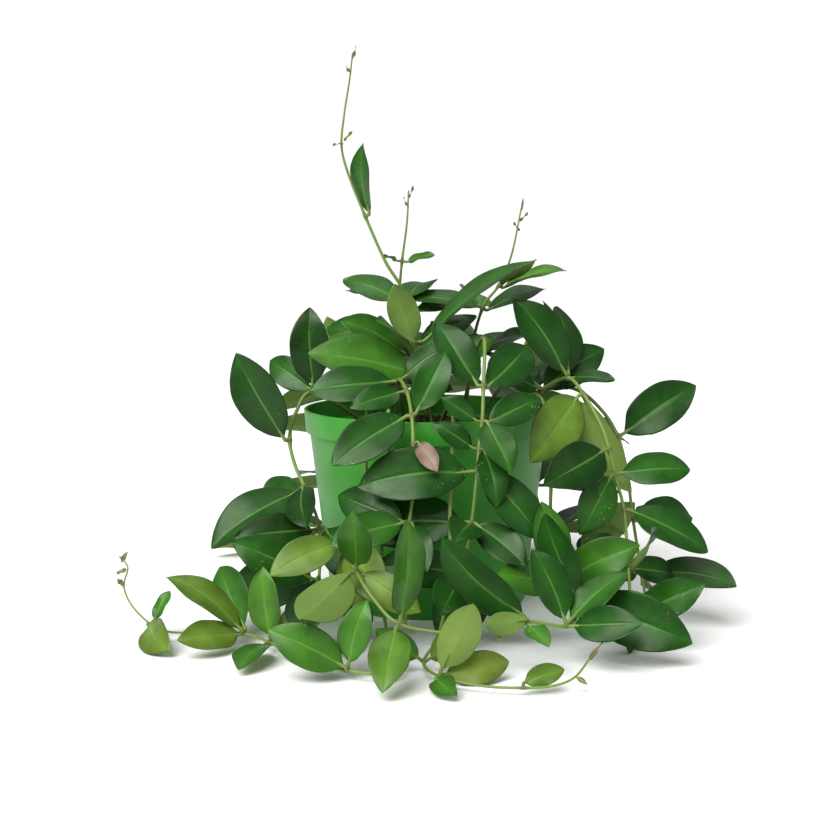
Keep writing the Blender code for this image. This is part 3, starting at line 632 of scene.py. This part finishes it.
def potMesh():
    # tapered wall, stepped rim band with a rounded lip, flat base with drain holes
    top = pot["height"]
    band = top - pot["band"]
    under = pot["rim"] - pot["step"]
    corners = [  # radius, height, bend in mm
        (pot["foot"], 0, 1.0), (pot["neck"], band, 0.6), (under, band, 0.6),
        (pot["rim"], top, 0.8), (pot["rim"] - pot["wall"], top, 0.7),
        (under - pot["wall"], band + pot["ledge"], 0.6), (innerRadius(band), band, 0.6),
        (innerRadius(pot["base"]), pot["base"], 1.5),
    ]
    outline = [(0, 0)] + [corner[:2] for corner in corners] + [(0, pot["base"])]
    profile = [(pot["core"], 0)]
    for before, (radius, height, bend), after in zip(outline, corners, outline[2:]):
        profile += rounded((radius, height), before, after, bend * mm)
    profile.append((pot["core"], pot["base"]))
    mesh = latheMesh("pot", profile, pot["sides"])
    body = bpy.data.objects.new("potBody", mesh)
    scene.collection.objects.link(body)
    cutters = []
    for hole in range(pot["holes"]):
        plug = [(pot["holeRadius"], -pot["base"]), (pot["holeRadius"], 2 * pot["base"])]
        cutter = bpy.data.objects.new("hole", latheMesh("hole", plug, 32))
        cutter.location = around(pot["holeCircle"], (hole + 0.5) / pot["holes"], 0)
        scene.collection.objects.link(cutter)
        cut = body.modifiers.new("hole", "BOOLEAN")
        cut.operation = "DIFFERENCE"
        cut.object = cutter
        cutters.append(cutter)
    bpy.context.view_layer.update()
    result = bpy.data.meshes.new_from_object(body.evaluated_get(bpy.context.evaluated_depsgraph_get()))
    result.name = "pot"
    for spare in [body, *cutters]:
        bpy.data.objects.remove(spare)
    result.materials.clear()
    result.materials.append(polypropylene)
    result.shade_smooth()
    result.set_sharp_from_angle(angle=math.radians(40))
    return result


def mixMesh():
    # a plug that fills the pot, with a crumbly top
    rim = innerRadius(mix["level"]) - mix["clear"]
    shape = bmesh.new()
    rings = []
    for ring in range(mix["rings"], -1, -1):
        share = ring / mix["rings"]
        radius = max(rim * share, 0.4 * mm)
        row = []
        for i in range(mix["sides"]):
            spot = Vector(around(radius, i / mix["sides"], mix["level"]))
            spot.z += mix["lump"] * (noise.noise(spot * 70) + mix["crumb"] * noise.noise(spot * 260))
            row.append(shape.verts.new(spot))
        rings.append(row)
    floor = pot["base"] + 0.4 * mm
    foot = innerRadius(floor) - mix["footClear"]
    rings.insert(0, [shape.verts.new(around(foot, i / mix["sides"], floor)) for i in range(mix["sides"])])
    mesh = closedMesh("pottingMix", shape, rings)
    mesh.materials.append(dampPeat)
    mesh.shade_smooth()
    return mesh


addPiece("moulded_pot", potMesh(), ["pot"])
plug = mixMesh()
surface = bmesh.new()
surface.from_mesh(plug)
reach = innerRadius(mix["level"]) - chips["clear"]
lowest = mix["level"] - chips["clear"]
middles = [(face, face.calc_center_median()) for face in surface.faces]
spare = [face for face, middle in middles if middle.z < lowest or middle.xy.length > reach]
bmesh.ops.delete(surface, geom=spare, context="FACES")
top = bpy.data.meshes.new("mixTop")  # the chips lie on the top only, clear of the wall
surface.to_mesh(top)
surface.free()
strewn = runTree(chipTree(), top, "chips", {
    "Spacing": chips["spacing"], "Smallest": chips["smallest"], "Largest": chips["largest"],
    "Seed": chips["seed"], "Material": pineBark})
addPiece("bark_mix", joinMeshes([plug, strewn]), ["potting_mix"])
print("pot and mix ready")

# Stems: each vine's points in mm, from the mix outwards

stem = dict(base=1.25 * mm, end=0.8 * mm, fine=0.45 * mm, buried=18 * mm, rise=6 * mm, step=3 * mm,
            knot=0.5, knotReach=2.2 * mm, knotTone=0.7, wobble=0.07, agedShare=0.5, age=0.9, youngAge=0.3)
hangingVines = dict(
    centre_front=[
        (20, -20, 106), (27, -34, 150), (32, -54, 163), (31, -71, 138), (30, -81, 119), (28, -89, 105),
        (27, -93, 93), (24, -95, 65), (20, -101, 38), (19, -116, 10)],
    left_front=[
        (-14, -20, 106), (-17, -42, 138), (-12, -62, 134), (-9, -78, 122), (-8, -88, 108), (-7, -95, 90),
        (-10, -100, 66), (-12, -106, 38), (-12, -116, 14)],
    left_rim=[
        (-42, -12, 106), (-68, -27, 130), (-78, -36, 118), (-81, -41, 103), (-77, -47, 88), (-71, -54, 77),
        (-61, -75, 57), (-60, -97, 33), (-62, -118, 14)],
    right_rim=[
        (46, -8, 106), (68, -15, 130), (83, -22, 138), (91, -37, 130), (100, -50, 113), (104, -56, 100),
        (107, -59, 86), (112, -64, 66), (112, -84, 38), (110, -110, 16)],
    right_side=[
        (50, 16, 106), (74, 12, 128), (92, 8, 128), (107, 4, 116), (117, 0, 100), (122, -8, 78),
        (124, -22, 52), (126, -46, 24), (126, -66, 10)],
    left_middle=[
        (-30, -28, 106), (-32, -60, 131), (-34, -73, 122), (-35, -73, 102), (-36, -70, 78), (-44, -106, 57),
        (-37, -134, 47), (-27, -150, 36), (-14, -165, 28), (12, -173, 25)],
    left_floor=[
        (-24, -12, 106), (-23, -52, 127), (-22, -78, 122), (-22, -78, 102), (-22, -73, 76), (-26, -80, 46),
        (-22, -126, 14), (-13, -152, 6), (-20, -172, 5), (-40, -168, 5), (-66, -148, 5), (-84, -124, 6),
        (-100, -111, 7), (-122, -106, 6), (-142, -104, 6), (-153, -97, 8), (-165, -90, 17), (-170, -86, 27),
        (-168, -84, 37), (-173, -82, 43)],
    right_front=[
        (8, -30, 106), (13, -62, 128), (14, -79, 120), (13, -91, 98), (12, -98, 70), (12, -107, 38),
        (6, -128, 12), (-2, -154, 5), (6, -177, 5), (26, -188, 4), (46, -191, 4), (60, -191, 5),
        (71, -187, 8), (81, -170, 13), (91, -153, 18)],
    right_low=[
        (40, -18, 106), (61, -40, 130), (69, -50, 119), (71, -57, 95), (70, -64, 68), (69, -82, 44),
        (71, -105, 33), (80, -126, 28), (72, -143, 21), (50, -151, 25), (34, -160, 18)],
)
wholeVines = dict(
    tall_shoot=[
        (-8, 8, 106), (-10, 6, 150), (-13, 2, 184), (-26, 0, 207), (-38, 0, 234), (-48, 0, 259),
        (-52, 0, 276), (-50, 0, 296), (-47, 0, 314), (-45, 0, 330)],
    inner_shoot=[(2, -12, 106), (-3, -20, 141), (-6, -20, 159)],
    left_shoot=[
        (-20, 22, 106), (-20, 20, 150), (-18, 14, 185), (-16, 10, 207), (-13, 12, 230), (-12, 15, 250)],
    right_shoot=[
        (24, 15, 106), (27, 18, 150), (34, 18, 178), (44, 20, 192), (52, 22, 211), (58, 24, 240)],
    back_left_vine=[
        (-32, 28, 106), (-43, 52, 129), (-50, 69, 120), (-54, 78, 92), (-58, 86, 56), (-72, 96, 22),
        (-94, 100, 6), (-116, 92, 6)],
    back_vine=[
        (-2, 38, 106), (-4, 62, 129), (-6, 82, 120), (-6, 92, 90), (-4, 98, 54), (4, 112, 20),
        (22, 132, 6), (46, 142, 6)],
    back_right_vine=[
        (36, 32, 106), (52, 50, 129), (63, 61, 119), (68, 68, 92), (72, 75, 56), (84, 84, 22),
        (104, 88, 6), (124, 74, 6)],
)


def vineCurve(listed):
    # a Catmull-Rom curve through the points, with a foot in the mix and an upright start
    points = [Vector(point) * mm for point in listed]
    root = points[0]
    points = [root - Vector((0, 0, stem["buried"])), root, root + Vector((0, 0, stem["rise"])), *points[1:]]
    ends = [points[0] * 2 - points[1], *points, points[-1] * 2 - points[-2]]
    samples = []
    for a, b, c, d in zip(ends, ends[1:], ends[2:], ends[3:]):
        steps = max(1, round((c - b).length / stem["step"]))
        for t in (i / steps for i in range(steps)):
            samples.append(0.5 * (2 * b + (c - a) * t + (2 * a - 5 * b + 4 * c - d) * t ** 2
                                  + (3 * b - 3 * c + d - a) * t ** 3))
    samples.append(points[-1])
    return samples


def railMesh(name, rails, attributes):
    # polylines as a mesh; each rail lists (point, value, value ...) in the order of the attributes
    mesh = bpy.data.meshes.new(name)
    corners = [entry[0] for rail in rails for entry in rail]
    edges = []
    start = 0
    for rail in rails:
        edges += [(start + i, start + i + 1) for i in range(len(rail) - 1)]
        start += len(rail)
    mesh.from_pydata(corners, edges, [])
    for index, (label, kind) in enumerate(attributes, 1):
        layer = mesh.attributes.new(label, kind, "POINT")
        values = [entry[index] for rail in rails for entry in rail]
        if kind == "FLOAT_VECTOR":
            layer.data.foreach_set("vector", [x for value in values for x in value])
        else:
            layer.data.foreach_set("value", values)
    return mesh


tubes = dict(step=1.2 * mm, sides=14, stalkStep=0.7 * mm, stalkSides=10)
tubeAttributes = [("thick", "FLOAT"), ("stemAge", "FLOAT"), ("stemKnot", "FLOAT")]
bladeAttributes = [
    ("facing", "FLOAT_VECTOR"), ("halfWidth", "FLOAT"), ("leafTone", "FLOAT"), ("leafSeed", "FLOAT")]


def stemRail(samples, knots, young):
    # a stem's radius along its samples, swollen where leaves stand
    rail = []
    last = len(samples) - 1
    for index, spot in enumerate(samples):
        share = index / last
        radius = stem["base"] + (stem["end"] - stem["base"]) * share
        if young:
            radius += (stem["fine"] - stem["end"]) * share ** 2
        radius *= 1 + stem["wobble"] * noise.noise(spot * 150)
        near = min(((spot - knot).length for knot in knots), default=1)
        swell = math.exp(-(near / stem["knotReach"]) ** 2)
        age = max(0.0, stem["agedShare"] - share) * stem["youngAge" if young else "age"]
        rail.append((spot, radius * (1 + stem["knot"] * swell), age, stem["knotTone"] * swell))
    return rail


def nearestSpot(samples, spot):
    # the closest place of a polyline
    best = None
    for a, b in zip(samples, samples[1:]):
        t = min(max((spot - a).dot(b - a) / (b - a).length_squared, 0), 1)
        place = a.lerp(b, t)
        if best is None or (place - spot).length < best[0]:
            best = ((place - spot).length, place)
    return best[1]


# Leaves: each CAD leaf is read back from its node's solid

leaf = dict(stalkShare=0.053, droop=0.035, sweep=0.03, wave=0.7 * mm, steps=26, stalk=0.95 * mm,
            smallest=2.4 * mm, rows=(0.2, 0.5, 0.8), fullness=1.02, overlap=0.4 * mm, beneath=0.55 * mm)
tones = dict(  # from the darkest, oldest leaf at 0 to the pink new leaf at 1
    centre_front=(0.2, 0.45), left_front=(0.3, 0.5), left_rim=(0.1, 0.45), right_rim=(0.1, 0.45),
    right_side=(0.15, 0.4), left_middle=(0.45, 0.8), left_floor=(0.5, 0.8), right_front=(0.55, 0.85),
    right_low=(0.25, 0.65), tall_shoot=(0.4, 0.7), inner_shoot=(0.35, 0.7), left_shoot=(0.3, 0.6),
    right_shoot=(0.3, 0.65), back_left_vine=(0.1, 0.5), back_vine=(0.1, 0.5), back_right_vine=(0.1, 0.5),
)
leafTones = dict(left_front_leaves_4=(1.0, 1.0), right_rim_leaves_3=(0.7, 0.85))  # nodes that stand out


def nearRings(start, count):
    # the four corners at one, two ... edges from a leaf's tip
    seen = {start}
    rings = []
    front = [start]
    for _ in range(count):
        beyond = []
        for corner in front:
            for edge in corner.link_edges:
                other = edge.other_vert(corner)
                if other not in seen:
                    seen.add(other)
                    beyond.append(other)
        if len(beyond) != 4:
            return None
        rings.append([corner.co.copy() for corner in beyond])
        front = beyond
    return rings


def readLeaves(node):
    # a leaf solid ends in a tip, then sections at 0.8, 0.5 and 0.2 of the blade with four corners each
    shape = bmesh.new()
    shape.from_mesh(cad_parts[node].data)
    bmesh.ops.remove_doubles(shape, verts=shape.verts, dist=0.01 * mm)
    leaves = []
    for corner in shape.verts:
        rings = nearRings(corner, 3) if len(corner.link_edges) == 4 else None
        if not rings:
            continue
        sections = []
        for ring in rings:
            pairs = [(a, b) for i, a in enumerate(ring) for b in ring[i + 1:]]
            left, right = max(pairs, key=lambda pair: (pair[0] - pair[1]).length)
            faces = [spot for spot in ring if spot != left and spot != right]
            middle = (faces[0] + faces[1]) / 2
            sections.append((middle, (left - right).length / 2, (left + right) / 2 - middle))
        if sections[1][1] < leaf["smallest"] or sections[0][1] < leaf["smallest"] / 2:
            continue
        blade = (sections[0][0] - sections[2][0]) / (leaf["rows"][2] - leaf["rows"][0])
        along = blade.normalized()
        lift = sum((section[2] for section in sections), Vector())
        base = corner.co - blade
        leaves.append(dict(
            tip=corner.co.copy(), base=base, along=along, length=blade.length,
            knee=base - along * blade.length * leaf["stalkShare"],
            middles=[section[0] for section in reversed(sections)],
            halfWidth=sections[1][1] * leaf["fullness"],
            facing=(lift - along * lift.dot(along)).normalized()))
    shape.free()
    leaves.sort(key=lambda found: tuple(round(x, 4) for x in found["tip"]))
    return leaves


def bladeRail(found, tone, chance):
    # the midrib's points: arched, the tip a little down, the line swept a little aside
    side = found["along"].cross(found["facing"])
    sweep = chance.uniform(-1, 1) * leaf["sweep"] * found["length"]
    droop = chance.uniform(0.3, 1) * leaf["droop"] * found["length"]
    low, middle, high = found["middles"]
    base = found["base"] - found["along"] * leaf["overlap"]
    spots = [
        base, low.lerp(base, 0.5) + found["facing"] * 0.1 * mm, low + side * sweep * 0.6,
        middle + side * sweep + found["facing"] * droop * 0.3, high + side * sweep * 0.7,
        found["tip"] - found["facing"] * droop,
    ]
    seed = chance.uniform(0, 6.28)
    return [(spot, found["facing"], found["halfWidth"], tone, seed) for spot in spots]


def stalkRail(found, place, chance):
    # the stalk leaves the stem, bends at its knee and runs on a little way beneath the blade
    base = found["base"]
    outward = (base - place).normalized()
    size = leaf["stalk"] * min(1.1, 0.55 + found["length"] / (90 * mm))
    low = found["middles"][0]
    under = found["facing"] * leaf["beneath"] * 0.8
    age = chance.uniform(0, 0.35)
    return [
        (place, size * 1.25, age, 0.4),
        (place + (found["knee"] - place) * 0.75 + outward * 0.1 * mm, size * 1.2, age, 0.2),
        (found["knee"], size * 1.08, age, 0.0),
        (base, size, age, 0.0),
        (base.lerp(low, 0.6) - under, size * 0.7, age, 0.0),
        (low - under, size * 0.35, age, 0.0),
    ]


def leafMeshes(name, blades, stalks):
    meshes = []
    if blades:
        meshes.append(runTree(leafBlade, railMesh(name, blades, bladeAttributes), name, {
            "Steps": leaf["steps"], "Wave": leaf["wave"], "Material": waxyLeaf}))
    if stalks:
        meshes.append(runTree(greenTube, railMesh(name, stalks, tubeAttributes), name, {
            "Step": tubes["stalkStep"], "Sides": tubes["stalkSides"], "Material": greenBark}))
    return meshes


def smallLeaf(base, tip, facing, halfWidth):
    # a bud leaf that the CAD leaves out, in the same terms as a leaf read from it
    base, tip, facing = Vector(base) * mm, Vector(tip) * mm, Vector(facing).normalized()
    length = (tip - base).length
    along = (tip - base).normalized()
    facing = (facing - along * facing.dot(along)).normalized()
    return dict(
        tip=tip, base=base, along=along, length=length, halfWidth=halfWidth * mm,
        middles=[base.lerp(tip, share) + facing * 0.03 * length for share in leaf["rows"]], facing=facing)


budLeaves = dict(  # base, tip, facing, half width in mm, tone
    tall_shoot=[
        ((-51, 0, 277), (-57, -4, 276), (0, -0.6, 1), 1.1, 0.9),
        ((-50, 0, 279), (-45, -5, 284), (0, -1, 0.4), 0.9, 0.85),
        ((-45, 0, 327), (-43, -1, 334), (1, -1, 0), 0.8, 0.95),
        ((-46, 0, 318), (-49, -1, 323), (-1, -1, 0), 0.8, 0.95),
    ],
    left_shoot=[
        ((-12, 15, 246), (-9, 13, 253), (1, -1, 0), 0.8, 0.9),
        ((-12, 14, 240), (-15, 12, 246), (-1, -1, 0), 0.7, 0.9),
    ],
    right_shoot=[
        ((57, 24, 232), (62, 22, 237), (1, -1, 0), 0.9, 0.9),
        ((57, 24, 226), (53, 21, 231), (-1, -1, 0.2), 0.8, 0.9),
        ((58, 24, 238), (59, 23, 246), (0, -1, 0), 0.7, 0.95),
    ],
    left_floor=[
        ((-172, -82, 40), (-168, -84, 46), (0, -1, 0), 1.3, 0.95),
        ((-169, -84, 36), (-174, -86, 34), (0, -1, 0.5), 1.2, 0.9),
        ((-170, -86, 27), (-173, -88, 32), (0, -1, 0), 1.4, 0.9),
    ],
    right_front=[
        ((80, -171, 12), (84, -173, 19), (0, -1, 0.3), 1.2, 0.95),
        ((90, -154, 18), (95, -152, 23), (0, -1, 0.3), 1.2, 0.95),
        ((72, -187, 8), (77, -189, 5), (0, -1, 0.5), 1.2, 0.9),
    ],
)

chance = random.Random(4)
leafCount = 0
for vine, listed in {**hangingVines, **wholeVines}.items():
    samples = vineCurve(listed)
    hanging = vine in hangingVines
    nodes = [vine]
    if hanging:
        nodes = sorted(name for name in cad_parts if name.startswith(vine + "_leaves"))
    knots = []
    for node in nodes:
        blades = []
        stalks = []
        low, high = leafTones.get(node, tones[vine])
        for found in readLeaves(node):
            place = nearestSpot(samples, found["knee"])
            knots.append(place)
            blades.append(bladeRail(found, chance.uniform(low, high), chance))
            stalks.append(stalkRail(found, place, chance))
        leafCount += len(blades)
        if hanging:
            addPiece(node + "_grown", joinMeshes(leafMeshes(node, blades, stalks)), [node])
    buds = [bladeRail(smallLeaf(*bud[:4]), bud[4], chance) for bud in budLeaves.get(vine, [])]
    young = vine.endswith("shoot") or vine in ("left_floor", "right_front")
    tube = runTree(greenTube, railMesh(vine, [stemRail(samples, knots, young)], tubeAttributes), vine, {
        "Step": tubes["step"], "Sides": tubes["sides"], "Material": greenBark})
    if hanging:
        meshes = [tube, *leafMeshes(vine, buds, [])]
        addPiece(vine + "_stem_grown", joinMeshes(meshes), [vine + "_stem"])
    else:
        meshes = [tube, *leafMeshes(vine, blades + buds, stalks)]
        addPiece(vine + "_grown", joinMeshes(meshes), [vine])
print("vines ready with", leafCount, "leaves")
